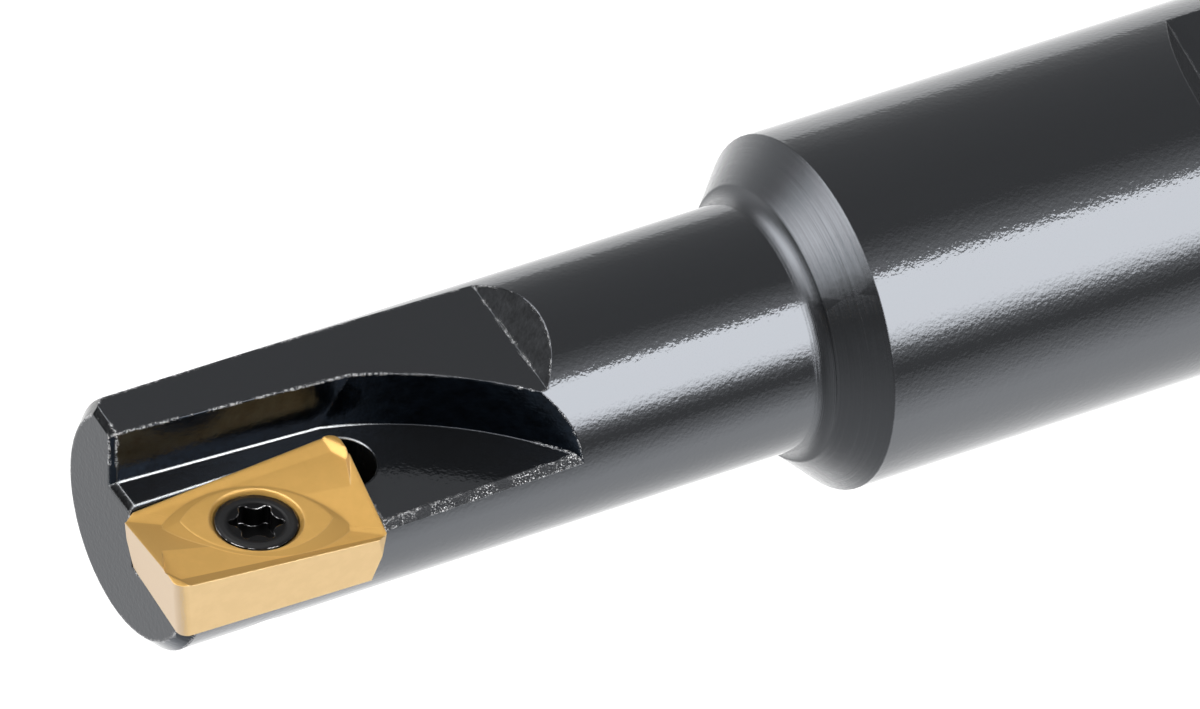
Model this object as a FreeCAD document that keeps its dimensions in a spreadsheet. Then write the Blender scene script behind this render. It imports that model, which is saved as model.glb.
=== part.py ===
import FreeCAD, Part
import math
import os
import Sketcher
from FreeCAD import Placement, Rotation, Vector

# A right-hand indexable end mill: a turned and milled cutter body, one carbide insert and its screw.
# Millimetres and degrees. The origin is the centre of the shank's end face, +Z points to the cutting
# tip, +X points outwards through the insert and +Y is the way that the insert's rake side faces.

SIZES = {
    # turned bar
    "shank_diameter": 15.875,
    "shank_length": 48.4,
    "shank_chamfer": 0.8,
    "cone_small_diameter": 12.36,
    "cone_half_angle": 45.0,
    "runout_radius": 0.8,
    "neck_diameter": 11.11,
    "neck_length": 32.9,
    "front_chamfer": 0.55,
    "front_edge_bevel": 0.25,
    "floor_edge_bevel": 0.3,
    # side-lock flat on the shank
    "lock_flat_turn": 71.0,
    "lock_flat_height": 6.325,
    "lock_flat_centre": 24.03,
    "lock_flat_length": 10.16,
    "lock_wall_lean": 45.0,
    # long flat above the gullet, measured back from the front face
    "top_flat_turn": 82.0,
    "top_flat_height": 3.4,
    "top_flat_slope": 3.5,
    "top_flat_length": 17.9,
    "end_wall_lean": 49.0,
    # gullet floor and its wall, measured back from the front face
    "floor_turn": 86.0,
    "floor_height": 1.08,
    "floor_slope": 1.15,
    "crease_front": -1.7,
    "crease_kink": -0.94,
    "crease_kink_back": 9.6,
    "crease_end_back": 19.76,
    "crease_radius": 17.05,
    "rim_front": -2.19,
    "rim_kink": -0.23,
    "rim_kink_back": 11.3,
    "rim_end_back": 19.99,
    "rim_radius": 22.96,
    # insert pocket
    "seat_height": -1.8,
    "pocket_clearance": 0.04,
    "relief_radius": 1.57,
    "relief_out": 0.68,
    "relief_back": 0.2,
    # carbide insert, its outline measured at the top of the noses
    "cutting_diameter": 12.7,
    "nose_lead": 1.1,
    "insert_turn": 1.3,
    "insert_length": 10.45,
    "insert_width": 6.25,
    "insert_thickness": 3.5,
    "insert_skew": 4.0,
    "flank_relief": 11.0,
    "nose_radius": 0.5,
    "clip_along_end": 0.67,
    "clip_along_side": 0.98,
    "rim_drop": 0.5,
    "island_half_width": 2.12,
    "island_half_length": 3.25,
    "island_heading": 112.0,
    "island_wall_depth": 0.55,
    "island_wall_slope": 30.0,
    "hole_diameter": 2.8,
    "hole_rim_diameter": 4.06,
    # insert screw
    "screw_diameter": 2.5,
    "screw_length": 4.4,
    "head_diameter": 3.56,
    "head_drop": 0.13,
    "head_half_angle": 30.0,
    "head_clearance": 0.02,
    "thread_clearance": 0.04,
    "screw_tip_chamfer": 0.25,
    "socket_diameter": 2.39,
    "socket_root_diameter": 1.72,
    "socket_lobe_radius": 0.19,
    "socket_depth": 0.95,
    "socket_turn": 37.0,
}

# Faces pressed into the insert's top: height over the hole's rim at the nose corner, rise per
# millimetre outwards and rise per millimetre towards the tip.
END_LAND = (0.744, 0.20, 0.107)
GROOVE_FLOOR = (0.342, 0.07, 0.078)
SIDE_LAND = (0.496, 0.268, 0.0846)
GROOVE_END_WALL = (-0.054, -0.471, 1.477)
NOSE_WALL = (0.9, 0.347, 0.664)

# How far the cutting shapes run past what they cut.
OVERSHOOT = 1.0

doc = FreeCAD.newDocument("indexable_end_mill")


def fill_sheet():
    """Writes one row for each driving size: its name and its value, with the name as alias."""
    sheet = doc.addObject("Spreadsheet::Sheet", "Sizes")
    for row, (name, value) in enumerate(SIZES.items(), start=1):
        sheet.set(f"A{row}", name)
        sheet.set(f"B{row}", str(value))
        sheet.setAlias(f"B{row}", name)
    doc.recompute()


def cell(name):
    """The expression that reads one size from the sheet."""
    return f"Sizes.{name}"


def tangent(angle_name):
    """The tangent of an angle in SIZES, as a number."""
    return math.tan(math.radians(SIZES[angle_name]))


def new_body(name):
    body = doc.addObject("PartDesign::Body", name)
    body.Label = name
    return body


def new_sketch(body, name, origin, across, up):
    """A sketch on the body's XY plane, moved so that its own axes run along across and up."""
    plane = next(item for item in body.Origin.OriginFeatures if item.Role == "XY_Plane")
    sketch = body.newObject("Sketcher::SketchObject", name)
    sketch.AttachmentSupport = (plane, "")
    sketch.MapMode = "FlatFace"
    turn = Rotation(across, up, across.cross(up), "XYZ")
    sketch.AttachmentOffset = Placement(origin, turn)
    return sketch


def bind(sketch, constraint, name, expression):
    """Adds a constraint whose value follows the sheet."""
    row = sketch.addConstraint(constraint)
    sketch.renameConstraint(row, name)
    sketch.setExpression(f"Constraints.{name}", expression)


def add_points(sketch, corners):
    """Adds construction points at pairs of expressions and returns where they come out."""
    first = sketch.GeometryCount
    for number, (across, up) in enumerate(corners, start=first):
        sketch.addGeometry(Part.Point(Vector(number, number, 0)), True)
        bind(sketch, Sketcher.Constraint("DistanceX", -1, 1, number, 1, 1.0), f"across{number}", across)
        bind(sketch, Sketcher.Constraint("DistanceY", -1, 1, number, 1, 1.0), f"up{number}", up)
    sketch.recompute()
    points = [sketch.Geometry[first + step] for step in range(len(corners))]
    return first, [Vector(point.X, point.Y, 0) for point in points]


def arc_between(start, end, radius):
    """The minor arc that turns left from start to end."""
    half = (end - start) * 0.5
    side = Vector(-half.y, half.x, 0)
    side.normalize()
    centre = start + half + side * math.sqrt(max(radius**2 - half.Length**2, 0.0))
    angles = [math.atan2(point.y - centre.y, point.x - centre.x) for point in (start, end)]
    return Part.ArcOfCircle(Part.Circle(centre, Vector(0, 0, 1), radius), *angles)


def draw_outline(sketch, corners, arcs=None):
    """Joins the corners in order. arcs maps a corner's number to the radius expression of the arc that
    leaves it and to its side: 1 turns left on the way to the next corner and -1 turns right."""
    arcs = arcs or {}
    first, points = add_points(sketch, corners)
    for number, start in enumerate(points):
        following = (number + 1) % len(points)
        ends = [(first + number, start), (first + following, points[following])]
        if number in arcs:
            expression, side = arcs[number]
            _, (mark,) = add_points(sketch, [(expression, "0")])
            if side < 0:
                ends.reverse()
            edge = sketch.addGeometry(arc_between(ends[0][1], ends[1][1], mark.x), False)
        else:
            edge = sketch.addGeometry(Part.LineSegment(ends[0][1], ends[1][1]), False)
        for end, (point, _) in enumerate(ends, start=1):
            sketch.addConstraint(Sketcher.Constraint("Coincident", edge, end, point, 1))
        if number in arcs:
            bind(sketch, Sketcher.Constraint("Radius", edge, mark.x), f"radius{edge}", expression)


def draw_circle(sketch, across, up, radius):
    """A circle whose centre and radius are expressions."""
    first, (centre,) = add_points(sketch, [(across, up)])
    edge = sketch.addGeometry(Part.Circle(centre, Vector(0, 0, 1), 1.0), False)
    sketch.addConstraint(Sketcher.Constraint("Coincident", edge, 3, first, 1))
    bind(sketch, Sketcher.Constraint("Radius", edge, 1.0), f"radius{edge}", radius)


def cut(body, sketch, name, length=None, reverse=False, both_ways=False, taper=None):
    """A pocket, through everything unless a length expression is given. It has to remove material."""
    before = body.Shape.Volume
    pocket = body.newObject("PartDesign::Pocket", name)
    pocket.Profile = sketch
    pocket.Type = "Length" if length else "ThroughAll"
    if length:
        pocket.setExpression("Length", length)
    if taper:
        pocket.setExpression("TaperAngle", taper)
    pocket.Reversed = reverse
    pocket.Midplane = both_ways
    pocket.Refine = False
    doc.recompute()
    if body.Shape.Volume > before - 1e-3:
        raise ValueError(f"{name} removes nothing")
    return pocket


def turn_profile(body, name, corners, arcs=None):
    """A solid of revolution about Z. Each corner is its radius and its height."""
    sketch = new_sketch(body, name + "_profile", Vector(0, 0, 0), Vector(1, 0, 0), Vector(0, 0, 1))
    draw_outline(sketch, corners, arcs)
    solid = body.newObject("PartDesign::Revolution", name)
    solid.Profile = sketch
    solid.ReferenceAxis = (sketch, ["V_Axis"])
    solid.Angle = 360
    solid.Refine = False
    doc.recompute()
    return solid


def repeat_round(body, name, feature, sketch, count):
    """Copies a feature round the sketch's normal."""
    pattern = body.newObject("PartDesign::PolarPattern", name)
    pattern.Originals = [feature]
    pattern.Axis = (sketch, ["N_Axis"])
    pattern.Angle = 360
    pattern.Occurrences = count
    body.Tip = pattern
    doc.recompute()
    return pattern


def radial_axes(turn_name):
    """The radial direction at an angle from X, and the direction of the tool's axis."""
    angle = math.radians(SIZES[turn_name])
    return Vector(math.cos(angle), math.sin(angle), 0), Vector(0, 0, 1)


NECK_RADIUS = f"{cell('neck_diameter')} / 2"
SHANK_RADIUS = f"{cell('shank_diameter')} / 2"
BODY_LENGTH = f"({cell('shank_length')} + {cell('neck_length')})"


def body_length():
    return SIZES["shank_length"] + SIZES["neck_length"]


def turn_bar(body):
    """Shank, 45 degree cone, concave run-out and neck in one profile. The shank is drawn in two runs
    that meet at the lock flat's middle, so that each has a full round wall at its own middle."""
    small = f"{cell('cone_small_diameter')} / 2"
    cone_top = f"{cell('shank_length')} + ({SHANK_RADIUS} - {small}) / tan({cell('cone_half_angle')})"
    radius = cell("runout_radius")
    rise = f"({small} - {NECK_RADIUS})"
    runout_top = f"{cone_top} + sqrt({radius}^2 - ({radius} - {rise})^2)"
    corners = [
        ("0", "0"),
        (f"{SHANK_RADIUS} - {cell('shank_chamfer')}", "0"),
        (SHANK_RADIUS, cell("shank_chamfer")),
        (SHANK_RADIUS, cell("lock_flat_centre")),
        (SHANK_RADIUS, cell("shank_length")),
        (small, cone_top),
        (NECK_RADIUS, runout_top),
        (NECK_RADIUS, f"{BODY_LENGTH} - {cell('front_chamfer')}"),
        (f"{NECK_RADIUS} - {cell('front_chamfer')}", BODY_LENGTH),
        ("0", BODY_LENGTH),
    ]
    turn_profile(body, "bar", corners, {5: (radius, -1)})


def mill_lock_flat(body):
    """The flat that the side-lock holder's screw presses on, milled across with leaning end walls."""
    across, up = radial_axes("lock_flat_turn")
    sketch = new_sketch(body, "lock_flat_profile", Vector(0, 0, 0), across, up)
    low = cell("lock_flat_height")
    high = f"{SHANK_RADIUS} + {OVERSHOOT}"
    half = f"{cell('lock_flat_length')} / 2"
    wide_half = f"({half} + ({high} - {low}) * tan({cell('lock_wall_lean')}))"
    middle = cell("lock_flat_centre")
    corners = [
        (low, f"{middle} - {half}"),
        (high, f"{middle} - {wide_half}"),
        (high, f"{middle} + {wide_half}"),
        (low, f"{middle} + {half}"),
    ]
    draw_outline(sketch, corners)
    cut(body, sketch, "lock_flat", both_ways=True)


def mill_top_flat(body):
    """The long flat that falls towards the tip, and the leaning wall that ends it."""
    across, up = radial_axes("top_flat_turn")
    sketch = new_sketch(body, "top_flat_profile", Vector(0, 0, 0), across, up)
    slope = f"tan({cell('top_flat_slope')})"
    height = cell("top_flat_height")
    ahead = f"{BODY_LENGTH} + {OVERSHOOT}"
    foot = f"{height} + {cell('top_flat_length')} * {slope}"
    foot_up = f"{BODY_LENGTH} - {cell('top_flat_length')}"
    corners = [
        (f"{height} - {OVERSHOOT} * {slope}", ahead),
        (foot, foot_up),
        (f"{foot} + {NECK_RADIUS}", f"{foot_up} - {NECK_RADIUS} * tan({cell('end_wall_lean')})"),
        (f"{foot} + {NECK_RADIUS}", ahead),
    ]
    draw_outline(sketch, corners)
    cut(body, sketch, "top_flat", both_ways=True)


def gullet_section(body, name, origin, across, up, edge):
    """One section of the gullet. edge gives the wall's line: its front, kink and end, and the arc."""
    front, kink, kink_back, end_back, radius = edge
    outside = f"{NECK_RADIUS} + {OVERSHOOT}"
    sketch = new_sketch(body, name, origin, across, up)
    corners = [
        (cell(front), f"{OVERSHOOT}"),
        (cell(kink), f"-{cell(kink_back)}"),
        (outside, f"-{cell(end_back)}"),
        (outside, f"{OVERSHOOT}"),
    ]
    draw_outline(sketch, corners, {1: (cell(radius), 1)})
    return sketch


def mill_gullet(body):
    """The chip space: a floor beside the insert and a wall that runs straight and then curves out."""
    normal, axis = radial_axes("floor_turn")
    up = axis - normal * tangent("floor_slope")
    up.normalize()
    across = Vector(normal.y, -normal.x, 0)
    origin = normal * SIZES["floor_height"] + axis * body_length()
    edge = ("crease_front", "crease_kink", "crease_kink_back", "crease_end_back", "crease_radius")
    floor = gullet_section(body, "gullet_floor", origin, across, up, edge)
    origin = Vector(0, SIZES["neck_diameter"] / 2, body_length())
    edge = ("rim_front", "rim_kink", "rim_kink_back", "rim_end_back", "rim_radius")
    rim = gullet_section(body, "gullet_rim", origin, Vector(1, 0, 0), axis, edge)
    before = body.Shape.Volume
    gullet = body.newObject("PartDesign::SubtractiveLoft", "gullet")
    gullet.Profile = floor
    gullet.Sections = [rim]
    gullet.Ruled = True
    gullet.Refine = False
    doc.recompute()
    if body.Shape.Volume > before - 1e-3:
        raise ValueError("gullet removes nothing")


def insert_axes():
    """The insert's own axes: along its length, outwards across it, and out of its seat."""
    turn = math.radians(SIZES["insert_turn"])
    along = Vector(-math.sin(turn), 0, math.cos(turn))
    outward = Vector(math.cos(turn), 0, math.sin(turn))
    return along, outward, Vector(0, 1, 0)


def insert_centre():
    """Where the hole's axis meets the seat, so that the nose cuts at the stated diameter and lead."""
    turn = math.radians(SIZES["insert_turn"])
    skew = math.radians(SIZES["insert_skew"])
    nose = SIZES["nose_radius"]
    out = SIZES["insert_width"] / 2 - nose
    ahead = (SIZES["insert_length"] / 2 - nose + out * math.sin(skew)) / math.cos(skew)
    reach_out = out * math.cos(turn) - ahead * math.sin(turn) + nose
    reach_ahead = out * math.sin(turn) + ahead * math.cos(turn) + nose
    nose_height = SIZES["seat_height"] + SIZES["insert_thickness"]
    nose_out = math.sqrt((SIZES["cutting_diameter"] / 2) ** 2 - nose_height**2)
    tip = body_length() + SIZES["nose_lead"]
    return Vector(nose_out - reach_out, SIZES["seat_height"], tip - reach_ahead)


def insert_corner(out_side, tip_side, inset):
    """A corner of the insert's outline, moved in by the expression inset: outwards and along."""
    out = f"{out_side} * ({cell('insert_width')} / 2 - ({inset}))"
    half_length = f"{tip_side} * ({cell('insert_length')} / 2 - ({inset}))"
    skew = cell("insert_skew")
    return out, f"({half_length} + {out} * sin({skew})) / cos({skew})"


def mill_pocket(body):
    """The seat, its two leaning walls, the round corner relief and the tapped hole."""
    along, outward, _ = insert_axes()
    centre = insert_centre()
    depth = f"{cell('floor_height')} - {cell('seat_height')} + {cell('neck_diameter')} / 24"
    inset = f"{cell('insert_thickness')} * tan({cell('flank_relief')}) - {cell('pocket_clearance')}"
    wall_out, corner_along = insert_corner(-1, -1, inset)
    far = cell("neck_diameter")
    skew = cell("insert_skew")
    outer_along = f"{corner_along} + ({far} - ({wall_out})) * tan({skew})"
    seat = new_sketch(body, "seat_outline", centre, outward, along)
    corners = [(wall_out, corner_along), (far, outer_along), (far, far), (wall_out, far)]
    draw_outline(seat, corners)
    cut(body, seat, "insert_pocket", depth, taper=cell("flank_relief"))
    relief = new_sketch(body, "relief_outline", centre, outward, along)
    relief_centre = (f"{wall_out} + {cell('relief_out')}", f"{corner_along} - {cell('relief_back')}")
    draw_circle(relief, *relief_centre, cell("relief_radius"))
    cut(body, relief, "corner_relief", depth)
    hole = new_sketch(body, "tapped_hole_outline", centre, outward, along)
    draw_circle(hole, "0", "0", f"{cell('screw_diameter')} / 2 + {cell('thread_clearance')}")
    cut(body, hole, "tapped_hole", reverse=True)


def bevel(body, name, size, points):
    """A 45 degree bevel on the edges nearest to the points."""
    base = body.Tip
    before = body.Shape.Volume
    chamfer = body.newObject("PartDesign::Chamfer", name)
    chamfer.Base = (base, [edge_near(base.Shape, point) for point in points])
    chamfer.setExpression("Size", size)
    chamfer.Refine = False
    doc.recompute()
    if body.Shape.Volume > before - 1e-3:
        raise ValueError(f"{name} removes nothing")


def milled_point(turn_name, across, up, back):
    """A point by its place across and above the tool's axis and by its distance behind the front face."""
    normal, axis = radial_axes(turn_name)
    side = Vector(normal.y, -normal.x, 0)
    return side * across + normal * up + axis * (body_length() - back)


def bevel_edges(body):
    """Light bevels where the floor meets the neck and where the milled faces meet the front face."""
    radius = SIZES["neck_diameter"] / 2
    back = (SIZES["crease_kink_back"] + SIZES["crease_end_back"]) / 2
    floor = SIZES["floor_height"]
    up = floor + back * tangent("floor_slope")
    reach = math.sqrt(radius**2 - up**2)
    bevel(body, "floor_bevel", cell("floor_edge_bevel"), [milled_point("floor_turn", reach, up, back)])
    crease = SIZES["crease_front"]
    top = SIZES["top_flat_height"]
    wall_lean = (SIZES["rim_front"] - crease) / (radius - floor)
    wall_out = crease + wall_lean * (top - floor) / 2
    top_out = (crease - math.sqrt(radius**2 - top**2)) / 2
    edges = [
        milled_point("floor_turn", crease / 2, floor, 0),
        milled_point("floor_turn", wall_out, (floor + top) / 2, 0),
        milled_point("top_flat_turn", top_out, top, 0),
    ]
    bevel(body, "front_edge_bevels", cell("front_edge_bevel"), edges)


def make_cutter_body():
    body = new_body("cutter_body")
    turn_bar(body)
    mill_lock_flat(body)
    mill_top_flat(body)
    mill_gullet(body)
    mill_pocket(body)
    bevel_edges(body)
    return body


def edge_near(shape, point):
    """The name of the edge whose middle is nearest to a point."""
    def gap(numbered):
        edge = numbered[1]
        middle = edge.valueAt((edge.FirstParameter + edge.LastParameter) / 2)
        return middle.distanceToPoint(point)
    number, _ = min(enumerate(shape.Edges, start=1), key=gap)
    return f"Edge{number}"


def corner_place(out_side, tip_side, inset):
    """The same corner as insert_corner, as a point in the insert's own axes at mid height."""
    skew = math.radians(SIZES["insert_skew"])
    out = out_side * (SIZES["insert_width"] / 2 - inset)
    along = (tip_side * (SIZES["insert_length"] / 2 - inset) + out * math.sin(skew)) / math.cos(skew)
    return Vector(along, out, SIZES["insert_thickness"] / 2)


def press_blank():
    """The insert before its rake faces: leaning flanks, two round noses and two clipped corners."""
    body = new_body("insert_blank")
    top = Vector(0, 0, SIZES["insert_thickness"])
    outline = new_sketch(body, "insert_outline", top, Vector(0, 1, 0), Vector(1, 0, 0))
    corners = [insert_corner(*sides, "0") for sides in ((1, 1), (1, -1), (-1, -1), (-1, 1))]
    draw_outline(outline, corners)
    pad = body.newObject("PartDesign::Pad", "flanks")
    pad.Profile = outline
    pad.setExpression("Length", cell("insert_thickness"))
    pad.setExpression("TaperAngle", f"-{cell('flank_relief')}")
    doc.recompute()
    half_inset = SIZES["insert_thickness"] / 2 * tangent("flank_relief")
    noses = body.newObject("PartDesign::Fillet", "noses")
    names = [edge_near(pad.Shape, corner_place(side, side, half_inset)) for side in (1, -1)]
    noses.Base = (pad, names)
    noses.setExpression("Radius", cell("nose_radius"))
    doc.recompute()
    clip = new_sketch(body, "clip_outline", top, Vector(0, 1, 0), Vector(1, 0, 0))
    skew = cell("insert_skew")
    out, along = insert_corner(-1, 1, "0")
    end_cut = cell("clip_along_end")
    side_cut = cell("clip_along_side")
    corners = [
        (f"{out} + {end_cut} * cos({skew})", f"{along} + {end_cut} * sin({skew})"),
        (out, f"{along} - {side_cut}"),
        (f"{out} - {end_cut}", f"{along} + {side_cut}"),
    ]
    draw_outline(clip, corners)
    pocket = cut(body, clip, "corner_clip", reverse=True)
    repeat_round(body, "corner_clips", pocket, clip, 2)
    return body


def boolean(kind, name, base, tool):
    result = doc.addObject(kind, name)
    result.Base = base
    result.Tool = tool
    doc.recompute()
    return result


def half_space(name, face, half_turn):
    """A large block whose lower side is one pressed face. half_turn puts it at the other nose."""
    height, rise_out, rise_along = face
    nose = corner_place(1, 1, 0)
    rim = SIZES["insert_thickness"] - SIZES["rim_drop"]
    normal = Vector(-rise_along, -rise_out, 1)
    lean = Rotation(Vector(0, 0, 1), normal)
    side = 3 * SIZES["insert_length"]
    corner = lean.multVec(Vector(-side / 2, -side / 2, 0))
    place = Placement(Vector(nose.x, nose.y, rim + height) + corner, lean)
    block = doc.addObject("Part::Box", name)
    for edge in ("Length", "Width", "Height"):
        block.setExpression(edge, f"3 * {cell('insert_length')}")
    spin = Placement(Vector(0, 0, 0), Rotation(Vector(0, 0, 1), 180 if half_turn else 0))
    block.Placement = spin.multiply(place)
    return block


def rake_tool(name, at_far_nose):
    """What the press leaves out on one side: all that lies above five of the pressed faces."""
    faces = (
        ("end_land", END_LAND, not at_far_nose),
        ("groove_floor", GROOVE_FLOOR, at_far_nose),
        ("side_land", SIDE_LAND, at_far_nose),
        ("groove_end_wall", GROOVE_END_WALL, at_far_nose),
        ("nose_wall", NOSE_WALL, at_far_nose),
    )
    tool = doc.addObject("Part::MultiCommon", name)
    tool.Shapes = [half_space(f"{name}_{label}", face, turn) for label, face, turn in faces]
    return tool


def island_cone(name, side):
    """A flat cone whose wall is one long side of the island. side is 1 or -1, across the island."""
    half_width = cell("island_half_width")
    half_length = cell("island_half_length")
    depth = cell("island_wall_depth")
    heading = cell("island_heading")
    radius = f"(({half_length} * {half_length} + {half_width} * {half_width}) / (2 * {half_width}))"
    offset = f"{side} * ({radius} - {half_width})"
    cone = doc.addObject("Part::Cone", name)
    cone.setExpression("Radius1", f"{radius} + {depth} / tan({cell('island_wall_slope')})")
    cone.setExpression("Radius2", radius)
    cone.setExpression("Height", depth)
    cone.setExpression("Placement.Base.x", f"{offset} * cos({heading})")
    cone.setExpression("Placement.Base.y", f"-1 * {offset} * sin({heading})")
    cone.setExpression("Placement.Base.z", f"{cell('insert_thickness')} - {cell('rim_drop')} - {depth}")
    return cone


def raise_island():
    """The lens-shaped land that the screw's hole opens in, with walls that slope to the grooves."""
    return boolean("Part::Common", "island", island_cone("island_left", 1), island_cone("island_right", -1))


def head_levels():
    """Heights over the seat, as expressions: the screw's top and the foot of its head's cone."""
    rim = f"({cell('insert_thickness')} - {cell('rim_drop')})"
    top = f"({rim} - {cell('head_drop')})"
    step = f"({cell('head_diameter')} - {cell('screw_diameter')}) / 2"
    foot = f"({top} - {step} / tan({cell('head_half_angle')}))"
    return rim, top, foot


def bore_form():
    """The hole in the insert: a plain bore, the cone that the head seats on and a bevelled rim."""
    body = new_body("insert_hole")
    rim, top, _ = head_levels()
    bore = f"{cell('hole_diameter')} / 2"
    rim_radius = f"{cell('hole_rim_diameter')} / 2"
    head_radius = f"({cell('head_diameter')} / 2 + {cell('head_clearance')})"
    cone = f"tan({cell('head_half_angle')})"
    bore_top = f"{top} - ({head_radius} - {bore}) / {cone}"
    # the 45 degree rim bevel meets the cone where both have the same radius
    bevel_drop = f"({rim_radius} - {head_radius} - ({rim} - {top}) * {cone}) / (1 - {cone})"
    corners = [
        ("0", f"-{OVERSHOOT}"),
        (bore, f"-{OVERSHOOT}"),
        (bore, bore_top),
        (f"{rim_radius} - {bevel_drop}", f"{rim} - {bevel_drop}"),
        (f"{rim_radius} + {OVERSHOOT}", f"{rim} + {OVERSHOOT}"),
        ("0", f"{rim} + {OVERSHOOT}"),
    ]
    turn_profile(body, "insert_bore", corners)
    return body


def make_insert():
    grooves = boolean("Part::Fuse", "rake_grooves", rake_tool("near_rake", False), rake_tool("far_rake", True))
    blank = press_blank()
    island = boolean("Part::Common", "island_inside", raise_island(), blank)
    raked = boolean("Part::Cut", "raked_blank", blank, grooves)
    landed = boolean("Part::Fuse", "landed_blank", raked, island)
    insert = boolean("Part::Cut", "insert", landed, bore_form())
    insert.Label = "insert"
    return insert


def cut_socket(body):
    """The six-lobe socket: a sixth of it is cut from the head's top and then copied round."""
    level = SIZES["insert_thickness"] - SIZES["rim_drop"] - SIZES["head_drop"]
    turn = math.radians(SIZES["socket_turn"])
    lobe_way = Vector(math.cos(turn), math.sin(turn), 0)
    side_way = Vector(-lobe_way.y, lobe_way.x, 0)
    sketch = new_sketch(body, "socket_outline", Vector(0, 0, level), lobe_way, side_way)
    root = f"({cell('socket_root_diameter')} / 2)"
    lobe = cell("socket_lobe_radius")
    lobe_centre = f"({cell('socket_diameter')} / 2 - {lobe})"
    # the arc between two lobes touches both, which gives its radius
    gap = f"({lobe_centre}^2 + {root}^2 - 2 * {lobe_centre} * {root} * cos(30) - {lobe}^2)"
    bulge = f"({gap} / (2 * ({lobe} - {root} + {lobe_centre} * cos(30))))"
    share = f"({lobe} / ({lobe} + {bulge}))"
    touch_out = f"({lobe_centre} + (({root} + {bulge}) * cos(30) - {lobe_centre}) * {share})"
    touch_side = f"(({root} + {bulge}) * sin(30) * {share})"
    corners = [
        ("0", "0"),
        (f"{root} * cos(30)", f"-{root} * sin(30)"),
        (touch_out, f"-{touch_side}"),
        (touch_out, touch_side),
        (f"{root} * cos(30)", f"{root} * sin(30)"),
    ]
    draw_outline(sketch, corners, {1: (bulge, -1), 2: (lobe, 1), 3: (bulge, -1)})
    sector = cut(body, sketch, "socket_sector", cell("socket_depth"))
    repeat_round(body, "socket", sector, sketch, 6)


def make_screw():
    """A countersunk screw that seats in the insert and ends just inside the cutter body."""
    body = new_body("insert_screw")
    _, top, foot = head_levels()
    radius = f"{cell('screw_diameter')} / 2"
    tip = f"{top} - {cell('screw_length')}"
    corners = [
        ("0", tip),
        (f"{radius} - {cell('screw_tip_chamfer')}", tip),
        (radius, f"{tip} + {cell('screw_tip_chamfer')}"),
        (radius, foot),
        (f"{cell('head_diameter')} / 2", top),
        ("0", top),
    ]
    turn_profile(body, "screw_blank", corners)
    cut_socket(body)
    return body


def main():
    fill_sheet()
    pieces = [make_cutter_body(), make_insert(), make_screw()]
    seat = Placement(insert_centre(), Rotation(*insert_axes(), "XYZ"))
    for piece in pieces[1:]:
        piece.Placement = seat
    doc.recompute()
    for item in doc.Objects:
        if "Invalid" in item.State or "Error" in item.State:
            raise ValueError(f"{item.Name} failed")
    os.makedirs("parts", exist_ok=True)
    for piece in pieces:
        if piece.Shape.isNull() or not piece.Shape.isValid():
            raise ValueError(f"{piece.Label} has no valid shape")
        print(piece.Label, "solids", len(piece.Shape.Solids), "volume", round(piece.Shape.Volume, 3))
    for piece in pieces:
        piece.Shape.exportStep(f"parts/{piece.Label}.step")


main()
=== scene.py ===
import math

import bpy
from mathutils import Matrix, Vector

# The looks of the indexable end mill, and the studio it stands in. Metres, in the part's own frame:
# the tool stands on its shank, +Z runs to the cutting tip, and +X runs outwards through the insert.
# The insert's top and the gullet's floor face +Y, which is called up in the finishes below.

MM = 0.001
WHITE = (1.0, 1.0, 1.0, 1.0)

# Camera: where it looks from, how it is turned about its line of sight, and what it looks at.
CAMERA_AZIMUTH = 134.498
CAMERA_ELEVATION = 25.173
CAMERA_ROLL = -107.789
CAMERA_AIM = Vector((5.793, 6.920, 62.189)) * MM
CAMERA_DISTANCE = 768.74 * MM
CAMERA_CLIP = (0.05, 20.0)
LENS = 548.55
SENSOR_WIDTH = 36.0

# Soft box over the tool, on the side of its long flat.
LAMP_AZIMUTH = 95.0
LAMP_ELEVATION = 68.0
LAMP_AIM = Vector((0.0, 0.0, 60.0)) * MM
LAMP_DISTANCE = 0.6
LAMP_SIZE = (0.40, 0.20)
LAMP_POWER = 1.9

# The studio as the tool's polished faces mirror it: pairs of azimuth in degrees and brightness.
# The low ring lies level with the tool and below it, and the high ring lies above the horizon.
LOW_RING = (
    (-180, 1.5), (-150, 1.3), (-110, 1.45), (-75, 1.75), (-50, 2.2), (-38, 1.9), (-28, 1.2), (-20, 0.8),
    (-13, 0.36), (-6, 0.42), (3, 1.2), (10, 6.0), (16, 8.2), (51, 8.3), (52, 1.7), (56, 1.3),
    (66, 0.7), (76, 0.35), (100, 0.36), (150, 0.45), (172, 0.7), (176, 1.5),
)
HIGH_RING = (
    (-180, 1.2), (-130, 1.05), (-90, 0.85), (-50, 0.65), (-20, 0.35), (0, 0.22), (40, 0.25), (52, 0.6),
    (62, 1.9), (74, 3.3), (88, 5.2), (98, 6.1), (122, 5.9), (138, 3.2), (147, 1.2), (156, 0.75), (172, 1.0),
)
RING_SCALE = 10.0
# Heights of the mirrored direction between which the low ring gives way to the high one, the high
# ring to a dark ceiling, and the plain floor to the low ring.
RINGS_MEET = (-0.1, 0.3)
CEILING = (0.93, 1.0)
CEILING_SHARE = 0.25
FLOOR = (-0.85, -0.6)
MIRRORED_FLOOR = 0.7
EVEN_LIGHT = 0.55

# The floor lies just under the shank's end, so that the two faces don't flicker into each other.
FLOOR_WIDTH = 8.0
FLOOR_DROP = 0.02 * MM
FLOOR_TONES = (0.84, 0.88)
FLOOR_GLOW = 0.55

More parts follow.
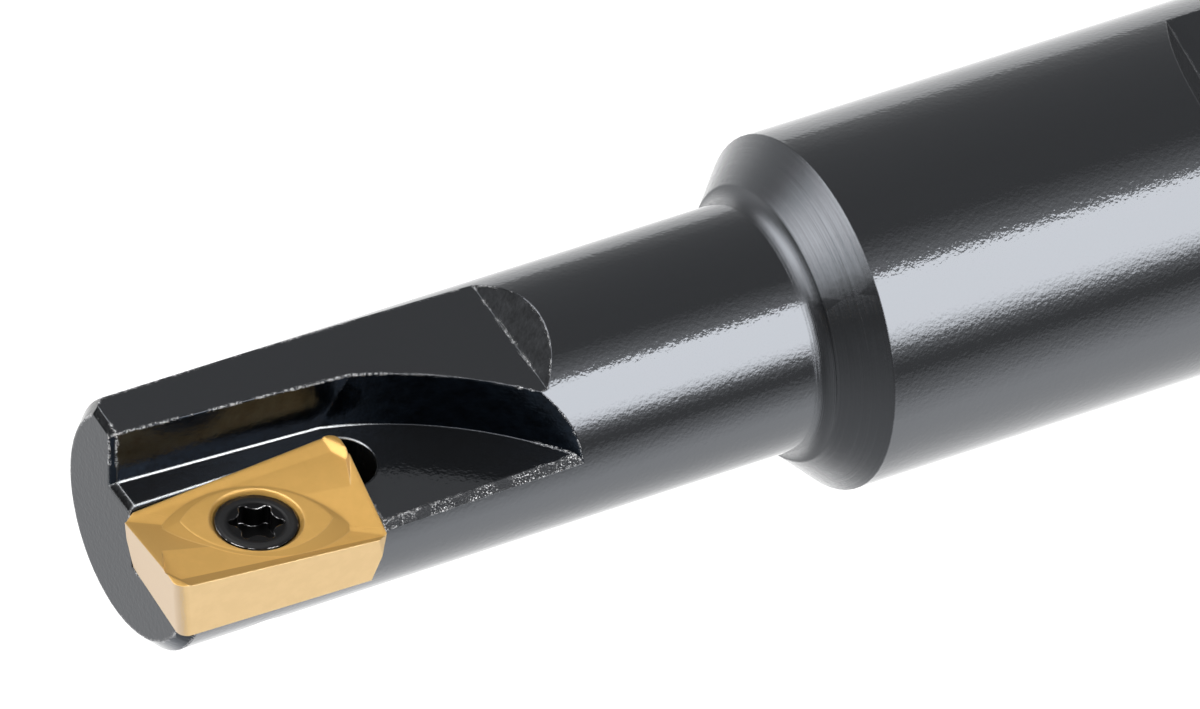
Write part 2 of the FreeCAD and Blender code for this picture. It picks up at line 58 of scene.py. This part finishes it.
# Sizes of the part that its finishes follow, in millimetres.
SHANK_RADIUS = 7.9375
SHANK_LENGTH = 48.4
NECK_RADIUS = 5.555
CONE_TOP = 50.16
TURNED_END = 62.0
FLOOR_LEVEL = 1.25
CREASE_END = 68.5
FACET_DEPTH = 0.02
BURR_BAND = 0.6
INSERT_CENTRE = (3.1055, -1.8, 76.9216)
RIM_LEVEL = 1.2
RIM_RADIUS = 2.03
HEAD_EDGE = 1.66
SOCKET_EDGE = 1.3

# How the faces are told apart: the range of each one's normal, outwards, up or to the tip.
BEVEL_OUT = (0.4, 0.95)
BEVEL_UP = (0.3, 0.92)
END_WALL_TIP = (0.4, 0.95)
END_WALL_UP = (0.3, 0.95)
GULLET_WALL_OUT = (0.35, 0.7)
TOP_UP = (0.4, 0.6)
FRONT_TIP = (0.3, 0.9)
LANDS_OUT = (-0.1, -0.17)
SIDE_LAND_OUT = (-0.21, -0.24)
ISLAND_WALL_UP = (0.845, 0.89)
# A turned wall's normal is at least this like the true round one.
TURNED_LIKENESS = 0.99

# Noise patterns: cells per millimetre, levels of detail, and roughness.
TURNING_MARKS = (11.0, 4.0, 0.75)
PEEL = (3.0, 2.0, 0.5)
FLECKS = (6.0, 2.0, 0.6)
WEAR_PATCHES = (0.9, 3.0, 0.6)
WEAR_SPOTS = (6.5, 4.0, 0.75)
GRIT = (13.0, 3.0, 0.7)
TORN_STEEL = (14.0, 3.0, 0.8)
MOTTLE = (1.6, 4.0, 0.75)
CARBIDE_GRAIN = (22.0, 3.0, 0.6)
COAT_CLOUDS = (1.3, 3.0, 0.6)
SCREW_PEEL = (8.0, 3.0, 0.6)
SCREW_GLINT_PATCHES = (2.6, 2.0, 0.5)

# Depths of the bumps, in millimetres.
TURNING_DEPTH = 0.019
PEEL_DEPTH = 0.006
FLECK_DEPTH = 0.0065
TORN_DEPTH = 0.12
LIP_DEPTH = 0.22
GRAIN_DEPTH = 0.0014
DISH_DEPTH = 0.035
SCREW_PEEL_DEPTH = 0.008

# Radii that the edges are rounded by, in millimetres, and the samples that each one takes.
EDGE_RADIUS = 0.12
CREASE_RADIUS = 0.26
EDGE_SAMPLES = 10
WEAR_RADIUS = 0.2
PRESSED_RADIUS = 0.22
GROUND_RADIUS = 0.08
SCREW_RADIUS = 0.06
BEVEL_SAMPLES = 4

# Colours of the steel, with a painted highlight for the crease, painted light for the ring on the screw's
# head, and painted glints for the edges round its socket.
OXIDE = (0.075, 0.079, 0.086, 1.0)
GULLET_OXIDE = (0.044, 0.072, 0.115, 1.0)
BARE_STEEL = (0.75, 0.75, 0.76, 1.0)
CREASE_HIGHLIGHT_STEEL = (0.4, 0.41, 0.42, 1.0)
SCREW_BLACK = (0.022, 0.022, 0.023, 1.0)
SCREW_RING_PAINTED_LIGHT = (0.06, 0.06, 0.061, 1.0)
SCREW_PAINTED_GLINT = (0.5, 0.5, 0.51, 1.0)

# Colours of the insert's coat: the top's own colour, and copies painted darker or lighter by the way each
# face looks, with a painted highlight for the edges.
GOLD_TOP = ((0.76, 0.44, 0.113, 1.0), (0.79, 0.46, 0.122, 1.0))
GOLD_LANDS_PAINTED_SHADE = (0.68, 0.395, 0.108, 1.0)
GOLD_SIDE_LAND_PAINTED_SHADE = (0.55, 0.315, 0.083, 1.0)
GOLD_ISLAND_WALL_PAINTED_SHADE = (0.69, 0.395, 0.1, 1.0)
GOLD_FLANK_PAINTED_LIGHT = ((0.76, 0.52, 0.23, 1.0), (0.79, 0.545, 0.245, 1.0))
GOLD_FRONT_PAINTED_LIGHT = (0.7, 0.53, 0.355, 1.0)
GOLD_EDGE_PAINTED_HIGHLIGHT = (0.8, 0.6, 0.32, 1.0)


def node(tree, kind, values=None, **settings):
    """A new node, with its settings and with values for its inputs by name or number."""
    made = tree.nodes.new(kind)
    for name, value in settings.items():
        setattr(made, name, value)
    for name, value in (values or {}).items():
        if isinstance(value, bpy.types.NodeSocket):
            tree.links.new(value, made.inputs[name])
        else:
            made.inputs[name].default_value = value
    return made


def maths(tree, operation, *values, clamp=False):
    made = node(tree, "ShaderNodeMath", dict(enumerate(values)), operation=operation, use_clamp=clamp)
    return made.outputs[0]


def product(tree, first, *others):
    for other in others:
        first = maths(tree, "MULTIPLY", first, other)
    return first


def opposite(tree, share):
    return maths(tree, "SUBTRACT", 1.0, share)


def mix_number(tree, share, first, second):
    """Goes from the first number to the second as share goes from 0 to 1."""
    return node(tree, "ShaderNodeMix", {0: share, 2: first, 3: second}, data_type="FLOAT").outputs[0]


def smooth_step(tree, value, low, high, start=0.0, end=1.0):
    """Goes smoothly from start to end as the value goes from low to high."""
    settings = {"interpolation_type": "SMOOTHSTEP", "clamp": True}
    values = {0: value, 1: low, 2: high, 3: start, 4: end}
    return node(tree, "ShaderNodeMapRange", values, **settings).outputs[0]


def between(tree, value, low, high, soft=0.1):
    """1 where the value lies between low and high, with soft ends."""
    over = smooth_step(tree, value, low - soft / 2, low + soft / 2)
    under = smooth_step(tree, value, high - soft / 2, high + soft / 2, 1.0, 0.0)
    return maths(tree, "MULTIPLY", over, under)


def vector_maths(tree, operation, *values, output=0):
    made = node(tree, "ShaderNodeVectorMath", dict(enumerate(values)), operation=operation)
    return made.outputs[output]


def scale_vector(tree, vector, scale):
    return node(tree, "ShaderNodeVectorMath", {0: vector, "Scale": scale}, operation="SCALE").outputs[0]


def parts_of(tree, vector):
    """The vector's X, Y and Z."""
    return tuple(node(tree, "ShaderNodeSeparateXYZ", {0: vector}).outputs)


def turn_vector(tree, vector, source, target):
    settings = {"vector_type": "NORMAL", "convert_from": source, "convert_to": target}
    return node(tree, "ShaderNodeVectorTransform", {0: vector}, **settings).outputs[0]


def blend(tree, share, first, second, kind="RGBA"):
    """Goes from the first colour or vector to the second as share goes from 0 to 1."""
    first_input = 6 if kind == "RGBA" else 4
    made = node(tree, "ShaderNodeMix", data_type=kind)
    made.clamp_factor = True
    for socket, value in ((0, share), (first_input, first), (first_input + 1, second)):
        if isinstance(value, bpy.types.NodeSocket):
            tree.links.new(value, made.inputs[socket])
        else:
            made.inputs[socket].default_value = value
    return made.outputs[2 if kind == "RGBA" else 1]


def noise(tree, vector, scale, detail, roughness):
    values = {"Vector": vector, "Scale": scale, "Detail": detail, "Roughness": roughness}
    return node(tree, "ShaderNodeTexNoise", values).outputs[0]


def bump(tree, height, depth, normal):
    """Tilts the normal by a height field of the given depth in millimetres."""
    values = {"Strength": 1.0, "Distance": depth * MM, "Height": height, "Normal": normal}
    return node(tree, "ShaderNodeBump", values).outputs[0]


def bevel_normal(tree, radius):
    """The normal as it would be with the edges rounded by this radius in millimetres."""
    return node(tree, "ShaderNodeBevel", {"Radius": radius * MM}, samples=BEVEL_SAMPLES).outputs[0]


def edge_share(tree, rounded, low, high):
    """How much a rounded normal leaves the face's own: 0 on a face and 1 on an edge."""
    own = node(tree, "ShaderNodeNewGeometry").outputs["Normal"]
    likeness = vector_maths(tree, "DOT_PRODUCT", rounded, own, output="Value")
    return smooth_step(tree, opposite(tree, likeness), low, high)


def part_place(tree):
    """The shaded point in the part's frame, in millimetres."""
    place = node(tree, "ShaderNodeTexCoord").outputs["Object"]
    return scale_vector(tree, place, 1.0 / MM)


def face_way(tree):
    """The way that a face looks in the part's frame: outwards, up and to the tip."""
    own = node(tree, "ShaderNodeNewGeometry").outputs["True Normal"]
    return parts_of(tree, turn_vector(tree, own, "WORLD", "OBJECT"))


def way_from(azimuth, elevation):
    """The unit vector that points to an azimuth and elevation in degrees."""
    azimuth = math.radians(azimuth)
    elevation = math.radians(elevation)
    level = math.cos(elevation)
    return Vector((math.cos(azimuth) * level, math.sin(azimuth) * level, math.sin(elevation)))


def ring_light(tree, turn, ring):
    """Brightness round the horizon, from pairs of azimuth and brightness."""
    ramp = node(tree, "ShaderNodeValToRGB", {0: turn})
    elements = ramp.color_ramp.elements
    while len(elements) < len(ring):
        elements.new(0.5)
    for element, (azimuth, level) in zip(elements, ring):
        element.position = azimuth / 360 + 0.5
        element.color = (level / RING_SCALE,) * 3 + (1.0,)
    return maths(tree, "MULTIPLY", ramp.outputs["Color"], RING_SCALE)


def make_world():
    """A white room. Mirror-like faces see its lamps and dark corners, and all else sees an even light."""
    world = bpy.data.worlds.new("studio")
    bpy.context.scene.world = world
    world.use_nodes = True
    tree = world.node_tree
    tree.nodes.clear()
    direction = node(tree, "ShaderNodeTexCoord").outputs["Generated"]
    across, along, height = parts_of(tree, direction)
    turn = maths(tree, "ARCTAN2", along, across)
    turn = maths(tree, "MULTIPLY_ADD", turn, 0.5 / math.pi, 0.5)
    low = ring_light(tree, turn, LOW_RING)
    high = ring_light(tree, turn, HIGH_RING)
    room = mix_number(tree, smooth_step(tree, height, *RINGS_MEET), low, high)
    room = maths(tree, "MULTIPLY", room, smooth_step(tree, height, *CEILING, 1.0, CEILING_SHARE))
    room = mix_number(tree, smooth_step(tree, height, *FLOOR), MIRRORED_FLOOR, room)
    light = node(tree, "ShaderNodeLightPath")
    glossy = light.outputs["Is Glossy Ray"]
    lit = maths(tree, "MULTIPLY", glossy, room)
    even = maths(tree, "MULTIPLY", opposite(tree, glossy), EVEN_LIGHT)
    seen = maths(tree, "MAXIMUM", light.outputs["Is Camera Ray"], maths(tree, "ADD", lit, even))
    surface = node(tree, "ShaderNodeBackground", {"Color": WHITE, "Strength": seen})
    node(tree, "ShaderNodeOutputWorld", {"Surface": surface.outputs[0]})


def new_material(name):
    material = bpy.data.materials.new(name)
    material.use_nodes = True
    tree = material.node_tree
    tree.nodes.clear()
    return material, tree


def make_floor():
    """A pale floor that keeps the tool's shadow."""
    material, tree = new_material("pale_floor")
    light = node(tree, "ShaderNodeLightPath")
    grain = node(tree, "ShaderNodeTexNoise", {"Scale": 40.0, "Detail": 3.0})
    tone = smooth_step(tree, grain.outputs[0], 0.3, 0.7, *FLOOR_TONES)
    paint = node(tree, "ShaderNodeBsdfDiffuse", {"Color": tone})
    strength = maths(tree, "MULTIPLY", light.outputs["Is Camera Ray"], FLOOR_GLOW)
    glow = node(tree, "ShaderNodeEmission", {"Color": WHITE, "Strength": strength})
    both = node(tree, "ShaderNodeAddShader", {0: paint.outputs[0], 1: glow.outputs[0]})
    node(tree, "ShaderNodeOutputMaterial", {"Surface": both.outputs[0]})
    bpy.ops.mesh.primitive_plane_add(size=FLOOR_WIDTH, location=(0, 0, -FLOOR_DROP))
    floor = bpy.context.object
    floor.name = "floor"
    floor.data.materials.append(material)
    floor.visible_glossy = False


def make_lamp():
    """The soft box. Glossy faces see the studio's rings instead of it."""
    lamp = bpy.data.lights.new("soft_box", "AREA")
    lamp.shape = "RECTANGLE"
    lamp.size, lamp.size_y = LAMP_SIZE
    lamp.energy = LAMP_POWER
    holder = bpy.data.objects.new("soft_box", lamp)
    bpy.context.scene.collection.objects.link(holder)
    way = way_from(LAMP_AZIMUTH, LAMP_ELEVATION)
    holder.location = LAMP_AIM + way * LAMP_DISTANCE
    holder.rotation_mode = "QUATERNION"
    holder.rotation_quaternion = way.to_track_quat("Z", "Y")
    holder.visible_glossy = False


def make_camera():
    camera = bpy.data.objects.new("camera", bpy.data.cameras.new("camera"))
    bpy.context.scene.collection.objects.link(camera)
    back = way_from(CAMERA_AZIMUTH - 90, CAMERA_ELEVATION)
    right = way_from(CAMERA_AZIMUTH, 0)
    up = back.cross(right)
    upright = Matrix((right, up, back)).transposed()
    turned = upright @ Matrix.Rotation(math.radians(CAMERA_ROLL), 3, "Z")
    camera.rotation_mode = "QUATERNION"
    camera.rotation_quaternion = turned.to_quaternion()
    camera.location = CAMERA_AIM + back * CAMERA_DISTANCE
    camera.data.sensor_width = SENSOR_WIDTH
    camera.data.lens = LENS
    camera.data.clip_start, camera.data.clip_end = CAMERA_CLIP
    bpy.context.scene.camera = camera


def turned_normal(tree, place):
    """The true round normal of the turned walls, where it holds, and the distance from the tool's axis.
    It holds on the cone, the run-out, the neck and the shank, and on none of the milled faces."""
    own = node(tree, "ShaderNodeNewGeometry").outputs["Normal"]
    own = turn_vector(tree, own, "WORLD", "OBJECT")
    to_tip = parts_of(tree, own)[2]
    out, up, height = parts_of(tree, place)
    flat = node(tree, "ShaderNodeCombineXYZ", {0: out, 1: up}).outputs[0]
    radius = vector_maths(tree, "LENGTH", flat, output="Value")
    outward = vector_maths(tree, "NORMALIZE", flat)
    level = maths(tree, "SUBTRACT", 1.0, maths(tree, "MULTIPLY", to_tip, to_tip), clamp=True)
    sideways = scale_vector(tree, outward, maths(tree, "SQRT", level))
    lengthways = node(tree, "ShaderNodeCombineXYZ", {2: to_tip}).outputs[0]
    round_one = vector_maths(tree, "ADD", sideways, lengthways)
    likeness = vector_maths(tree, "DOT_PRODUCT", round_one, own, output="Value")
    on_shank = maths(tree, "LESS_THAN", height, SHANK_LENGTH)
    wall = mix_number(tree, on_shank, NECK_RADIUS, SHANK_RADIUS)
    on_wall = maths(tree, "GREATER_THAN", radius, maths(tree, "SUBTRACT", wall, FACET_DEPTH))
    over_shank = maths(tree, "GREATER_THAN", height, SHANK_LENGTH)
    on_cone = maths(tree, "MULTIPLY", over_shank, maths(tree, "LESS_THAN", height, TURNED_END))
    where = maths(tree, "MAXIMUM", on_wall, on_cone)
    where = maths(tree, "MULTIPLY", where, maths(tree, "GREATER_THAN", likeness, TURNED_LIKENESS))
    return turn_vector(tree, round_one, "OBJECT", "WORLD"), where, radius


def turned_surface(tree, place, radius, normal):
    """Turning marks round the cone and its run-out, and a faint orange peel on all the rest."""
    height = parts_of(tree, place)[2]
    along_cone = node(tree, "ShaderNodeCombineXYZ", {0: maths(tree, "SUBTRACT", height, radius)}).outputs[0]
    marks = noise(tree, along_cone, *TURNING_MARKS)
    on_cone = between(tree, height, SHANK_LENGTH, CONE_TOP + 0.8, 0.3)
    marks = maths(tree, "MULTIPLY", marks, maths(tree, "MULTIPLY_ADD", on_cone, 1.0, 0.05))
    normal = bump(tree, marks, TURNING_DEPTH, normal)
    quiet = mix_number(tree, on_cone, 1.0, 0.35)
    peel = maths(tree, "MULTIPLY", noise(tree, place, *PEEL), quiet)
    normal = bump(tree, peel, PEEL_DEPTH, normal)
    flecks = maths(tree, "MULTIPLY", noise(tree, place, *FLECKS), quiet)
    return bump(tree, flecks, FLECK_DEPTH, normal)


def wear(tree, place, turned, at_floor):
    """Where the milled edges are worn bright, mostly near the tip and at the long flat's end."""
    out, _, height = parts_of(tree, place)
    edge = edge_share(tree, bevel_normal(tree, WEAR_RADIUS), 0.01, 0.06)
    edge = maths(tree, "MULTIPLY", edge, maths(tree, "LESS_THAN", turned, 0.5))
    in_crease = maths(tree, "MULTIPLY", at_floor, smooth_step(tree, out, 3.5, 4.5, 1.0, 0.0))
    near_tip = smooth_step(tree, height, 66.0, 74.0, 0.1, 1.0)
    near_end_wall = maths(tree, "MULTIPLY", between(tree, height, 59.0, 64.5), 0.8)
    spots = smooth_step(tree, noise(tree, place, *WEAR_SPOTS), 0.42, 0.54)
    patches = smooth_step(tree, noise(tree, place, *WEAR_PATCHES), 0.42, 0.52)
    where = maths(tree, "MAXIMUM", near_tip, near_end_wall)
    return product(tree, edge, spots, patches, opposite(tree, in_crease), where)


def black_oxide():
    """Turned and milled steel under a glossy black oxide coat, worn through to bright steel along its
    milled edges."""
    material, tree = new_material("black_oxide_steel")
    place = part_place(tree)
    out, up, height = parts_of(tree, place)
    looks_out, looks_up, looks_to_tip = face_way(tree)
    round_one, turned, radius = turned_normal(tree, place)

    # the milled faces
    milled = maths(tree, "LESS_THAN", turned, 0.5)
    milled = maths(tree, "MULTIPLY", milled, maths(tree, "GREATER_THAN", height, TURNED_END))
    leans_out = between(tree, looks_out, *BEVEL_OUT)
    leans_up = between(tree, looks_up, *BEVEL_UP)
    at_rim = maths(tree, "GREATER_THAN", radius, NECK_RADIUS - BURR_BAND)
    floor_bevel = product(tree, leans_out, leans_up, milled, at_rim)
    leans_to_tip = between(tree, looks_to_tip, *END_WALL_TIP)
    end_wall = product(tree, milled, leans_to_tip, between(tree, looks_up, *END_WALL_UP))
    gullet_wall = maths(tree, "MULTIPLY", milled, smooth_step(tree, looks_out, *GULLET_WALL_OUT))
    gullet_wall = maths(tree, "MULTIPLY", gullet_wall, opposite(tree, floor_bevel))

    # the crease between the gullet's floor and wall is a wide round groove, and the edges are rounded
    at_floor = between(tree, up, FLOOR_LEVEL - 0.6, FLOOR_LEVEL + 0.75)
    inside = smooth_step(tree, out, 0.5, 1.5, 1.0, 0.0)
    crease = product(tree, milled, at_floor, inside, smooth_step(tree, height, CREASE_END, CREASE_END + 3.0))
    reach = maths(tree, "MULTIPLY", mix_number(tree, crease, EDGE_RADIUS, CREASE_RADIUS), MM)
    rounded = node(tree, "ShaderNodeBevel", {"Radius": reach}, samples=EDGE_SAMPLES).outputs[0]
    normal = blend(tree, turned, rounded, round_one, "VECTOR")
    normal = blend(tree, edge_share(tree, rounded, 0.004, 0.02), normal, rounded, "VECTOR")
    normal = vector_maths(tree, "NORMALIZE", normal)
    normal = turned_surface(tree, place, radius, normal)

    # torn bright steel on the worn edges and on the bevel of the gullet's floor
    worn = wear(tree, place, turned, at_floor)
    grit = smooth_step(tree, noise(tree, place, *GRIT), 0.56, 0.64)
    patches = smooth_step(tree, noise(tree, place, *WEAR_PATCHES), 0.42, 0.6)
    bare = maths(tree, "MAXIMUM", worn, product(tree, floor_bevel, grit, patches))
    torn = maths(tree, "MAXIMUM", worn, maths(tree, "MULTIPLY", floor_bevel, 0.6))
    torn = maths(tree, "MULTIPLY", noise(tree, place, *TORN_STEEL), torn)
    normal = bump(tree, torn, TORN_DEPTH, normal)

    # the end wall is much darker than the rest, and mottled; the gullet's wall is painted darker as painted
    # shade in the gullet, over a mottled, uneven coat
    mottle = noise(tree, place, *MOTTLE)
    end_tone = maths(tree, "MULTIPLY_ADD", maths(tree, "SUBTRACT", mottle, 0.5), 0.18, 0.085)
    tone = mix_number(tree, end_wall, 1.0, maths(tree, "MAXIMUM", end_tone, 0.045))
    gullet_mottle_and_shade = maths(tree, "MULTIPLY_ADD", mottle, 0.5, -0.09)
    tone = mix_number(tree, gullet_wall, tone, maths(tree, "MAXIMUM", gullet_mottle_and_shade, 0.03))
    tone = mix_number(tree, floor_bevel, tone, 0.4)
    colour = scale_vector(tree, blend(tree, gullet_wall, OXIDE, GULLET_OXIDE), tone)
    colour = blend(tree, bare, colour, BARE_STEEL)
    # painted highlight: a lighter steel colour painted along the middle of the crease
    crease_highlight = maths(tree, "MULTIPLY", crease, edge_share(tree, rounded, 0.05, 0.2))
    colour = blend(tree, crease_highlight, colour, CREASE_HIGHLIGHT_STEEL)
    roughness = mix_number(tree, gullet_wall, 0.06, maths(tree, "MULTIPLY_ADD", mottle, 0.2, 0.08))
    shader = node(tree, "ShaderNodeBsdfPrincipled", {
        "Base Color": colour,
        "Metallic": mix_number(tree, end_wall, 0.84, 0.95),
        "Roughness": mix_number(tree, bare, roughness, 0.3),
        "Normal": normal,
    })
    node(tree, "ShaderNodeOutputMaterial", {"Surface": shader.outputs[0]})
    return material


def from_hole_axis(tree, place):
    """Distance from the axis of the insert's hole, which runs along Y."""
    from_centre = vector_maths(tree, "SUBTRACT", place, INSERT_CENTRE)
    flat = vector_maths(tree, "MULTIPLY", from_centre, (1.0, 0.0, 1.0))
    return vector_maths(tree, "LENGTH", flat, output="Value")


def hole_lip(tree, place, normal):
    """Draws the hole's bevelled rim as a rounded lip that falls away steeply to the screw's head."""
    distance = from_hole_axis(tree, place)
    on_top = maths(tree, "GREATER_THAN", parts_of(tree, place)[1], RIM_LEVEL - 0.4)
    fall = smooth_step(tree, distance, RIM_RADIUS - 0.3, RIM_RADIUS + 0.02)
    return bump(tree, maths(tree, "MULTIPLY", fall, on_top), LIP_DEPTH, normal)


def coat_colour(tree, place, on_island, edge):
    """Gold, clouded at random, with painted shade on the lands and the seat's walls, painted light that
    makes the flanks and the front paler, and a painted highlight on the edges.
    """
    looks_out, looks_up, looks_to_tip = face_way(tree)
    clouds = smooth_step(tree, noise(tree, place, *COAT_CLOUDS), 0.35, 0.65)
    top = blend(tree, clouds, *GOLD_TOP)
    # painted shade: darker gold on the lands and the side land, chosen by the way they face
    top = blend(tree, smooth_step(tree, looks_out, *LANDS_OUT), top, GOLD_LANDS_PAINTED_SHADE)
    top = blend(tree, smooth_step(tree, looks_out, *SIDE_LAND_OUT), top, GOLD_SIDE_LAND_PAINTED_SHADE)
    # painted shade: darker gold on the raised seat's walls
    top = blend(tree, on_island, top, GOLD_ISLAND_WALL_PAINTED_SHADE)
    # painted light: paler gold on the flanks, and paler still on the front face
    flank = blend(tree, clouds, *GOLD_FLANK_PAINTED_LIGHT)
    flank = blend(tree, smooth_step(tree, looks_to_tip, *FRONT_TIP), flank, GOLD_FRONT_PAINTED_LIGHT)
    colour = blend(tree, smooth_step(tree, looks_up, *TOP_UP), flank, top)
    # painted highlight: bright gold on the edges
    return blend(tree, edge, colour, GOLD_EDGE_PAINTED_HIGHLIGHT)


def coated_carbide():
    """Sintered carbide under a golden coat, satin, with softly pressed walls, honed edges under a painted
    highlight, and light and shade painted into the coat by the way each face looks.
    """
    material, tree = new_material("coated_carbide")
    place = part_place(tree)
    looks_up = face_way(tree)[1]
    wide = bevel_normal(tree, PRESSED_RADIUS)
    narrow = bevel_normal(tree, GROUND_RADIUS)

    # the press leaves the walls of the raised seat softer than they are steep
    wide_up = parts_of(tree, turn_vector(tree, wide, "WORLD", "OBJECT"))[1]
    on_island = between(tree, looks_up, *ISLAND_WALL_UP, 0.01)
    on_top = maths(tree, "MAXIMUM", smooth_step(tree, wide_up, 0.88, 0.95), on_island)
    straight_up = node(tree, "ShaderNodeCombineXYZ", {1: 1.0}).outputs[0]
    straight_up = turn_vector(tree, straight_up, "OBJECT", "WORLD")
    wide = blend(tree, maths(tree, "MULTIPLY", on_island, 0.85), wide, straight_up, "VECTOR")
    normal = vector_maths(tree, "NORMALIZE", blend(tree, on_top, narrow, wide, "VECTOR"))
    normal = hole_lip(tree, place, normal)
    grain = noise(tree, place, *CARBIDE_GRAIN)
    normal = bump(tree, grain, GRAIN_DEPTH, normal)

    # painted highlight: how much the edges take the bright gold and full metal
    edge = maths(tree, "MULTIPLY", edge_share(tree, narrow, 0.02, 0.12), 0.6)
    shader = node(tree, "ShaderNodeBsdfPrincipled", {
        "Base Color": coat_colour(tree, place, on_island, edge),
        "Metallic": mix_number(tree, edge, 0.28, 1.0),
        "Roughness": maths(tree, "MULTIPLY_ADD", grain, 0.1, 0.38),
        "Normal": normal,
    })
    node(tree, "ShaderNodeOutputMaterial", {"Surface": shader.outputs[0]})
    return material


def screw_steel():
    """Blackened steel: a dull, lighter ring painted on the head's face as painted light, and painted glints
    in uneven patches round the socket's edge.
    """
    material, tree = new_material("screw_steel")
    place = part_place(tree)
    rounded = bevel_normal(tree, SCREW_RADIUS)
    ring = between(tree, from_hole_axis(tree, place), SOCKET_EDGE, HEAD_EDGE, 0.22)
    normal = bump(tree, ring, DISH_DEPTH, rounded)
    normal = bump(tree, noise(tree, place, *SCREW_PEEL), SCREW_PEEL_DEPTH, normal)
    # painted glints: a lighter, glossier steel colour painted in patches on the edges round the socket
    glint_patches = smooth_step(tree, noise(tree, place, *SCREW_GLINT_PATCHES), 0.46, 0.56)
    painted_glint = maths(tree, "MULTIPLY", edge_share(tree, rounded, 0.01, 0.1), glint_patches)
    # painted light: the ring on the head's face is painted lighter than the rest of the head
    colour = blend(tree, ring, SCREW_BLACK, SCREW_RING_PAINTED_LIGHT)
    shader = node(tree, "ShaderNodeBsdfPrincipled", {
        "Base Color": blend(tree, painted_glint, colour, SCREW_PAINTED_GLINT),
        "Metallic": 0.95,
        "Roughness": mix_number(tree, painted_glint, 0.36, 0.2),
        "Normal": normal,
    })
    node(tree, "ShaderNodeOutputMaterial", {"Surface": shader.outputs[0]})
    return material


def finish_node(piece, material):
    piece.data.materials.clear()
    piece.data.materials.append(material)


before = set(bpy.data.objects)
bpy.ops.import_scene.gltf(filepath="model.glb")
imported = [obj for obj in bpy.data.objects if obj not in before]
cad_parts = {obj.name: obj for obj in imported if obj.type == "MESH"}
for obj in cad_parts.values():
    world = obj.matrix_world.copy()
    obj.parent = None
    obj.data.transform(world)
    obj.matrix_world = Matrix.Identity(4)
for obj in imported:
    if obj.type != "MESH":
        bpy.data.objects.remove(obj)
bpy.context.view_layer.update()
make_world()
make_floor()
make_lamp()
make_camera()
finish_node(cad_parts["cutter_body"], black_oxide())
finish_node(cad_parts["insert"], coated_carbide())
finish_node(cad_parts["insert_screw"], screw_steel())
bpy.context.scene.view_settings.view_transform = "Standard"
